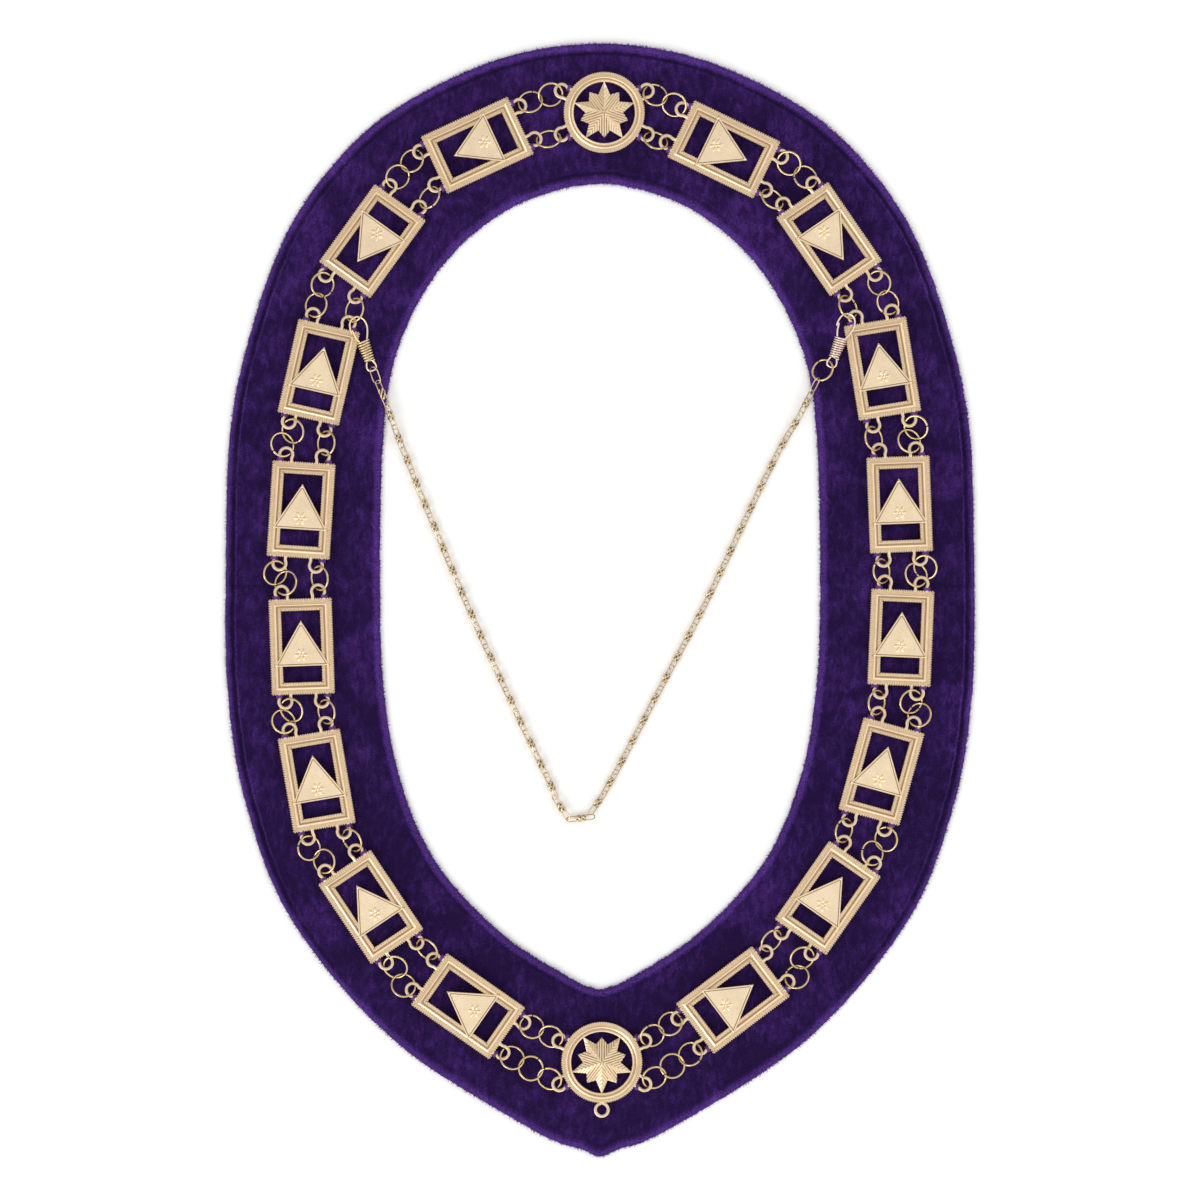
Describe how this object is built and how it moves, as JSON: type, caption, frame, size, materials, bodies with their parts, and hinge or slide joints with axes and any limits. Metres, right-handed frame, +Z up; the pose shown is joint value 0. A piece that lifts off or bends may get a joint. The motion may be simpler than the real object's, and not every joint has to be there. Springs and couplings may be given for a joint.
{
  "type": "chain collar",
  "caption": "Ceremonial chain collar: a violet velvet band carrying gilt pierced plates and star medallions linked by jump rings, with a safety chain clipped across the neck.",
  "frame": {"origin": "middle of the collar's outline, on the surface that it lies on", "axes": "+Z up out of the face, +Y to the back of the neck, -Y to the front point, +X to the right as seen from above"},
  "size_m": [0.3744, 0.556, 0.0116],
  "materials": {
    "velvet": "matt",
    "gilt_plate": "satin",
    "gilt_ring": "polished",
    "clip_wire": "polished",
    "chain_wire": "polished"
  },
  "bodies": {
    "root": {"velvet_collar": "velvet", "plate_right_1": "gilt_plate", "plate_right_2": "gilt_plate", "plate_right_3": "gilt_plate", "plate_right_4": "gilt_plate", "plate_right_5": "gilt_plate", "plate_right_6": "gilt_plate", "plate_right_7": "gilt_plate", "plate_right_8": "gilt_plate", "plate_left_1": "gilt_plate", "plate_left_2": "gilt_plate", "plate_left_3": "gilt_plate", "plate_left_4": "gilt_plate", "plate_left_5": "gilt_plate", "plate_left_6": "gilt_plate", "plate_left_7": "gilt_plate", "plate_left_8": "gilt_plate", "medallion_top": "gilt_plate", "medallion_bottom": "gilt_plate", "rings_outer_01": "gilt_ring", "rings_outer_02": "gilt_ring", "rings_outer_03": "gilt_ring", "rings_outer_04": "gilt_ring", "rings_outer_05": "gilt_ring", "rings_outer_06": "gilt_ring", "rings_outer_07": "gilt_ring", "rings_outer_08": "gilt_ring", "rings_outer_09": "gilt_ring", "rings_outer_10": "gilt_ring", "rings_outer_11": "gilt_ring", "rings_outer_12": "gilt_ring", "rings_outer_13": "gilt_ring", "rings_outer_14": "gilt_ring", "rings_outer_15": "gilt_ring", "rings_outer_16": "gilt_ring", "rings_outer_17": "gilt_ring", "rings_outer_18": "gilt_ring", "rings_inner_01": "gilt_ring", "rings_inner_02": "gilt_ring", "rings_inner_03": "gilt_ring", "rings_inner_04": "gilt_ring", "rings_inner_05": "gilt_ring", "rings_inner_06": "gilt_ring", "rings_inner_07": "gilt_ring", "rings_inner_08": "gilt_ring", "rings_inner_09": "gilt_ring", "rings_inner_10": "gilt_ring", "rings_inner_11": "gilt_ring", "rings_inner_12": "gilt_ring", "rings_inner_13": "gilt_ring", "rings_inner_14": "gilt_ring", "rings_inner_15": "gilt_ring", "rings_inner_16": "gilt_ring", "rings_inner_17": "gilt_ring", "rings_inner_18": "gilt_ring", "clip_right": "clip_wire", "clip_left": "clip_wire", "clip_ring": "gilt_ring", "safety_chain": "chain_wire"}
  },
  "joints": []
}
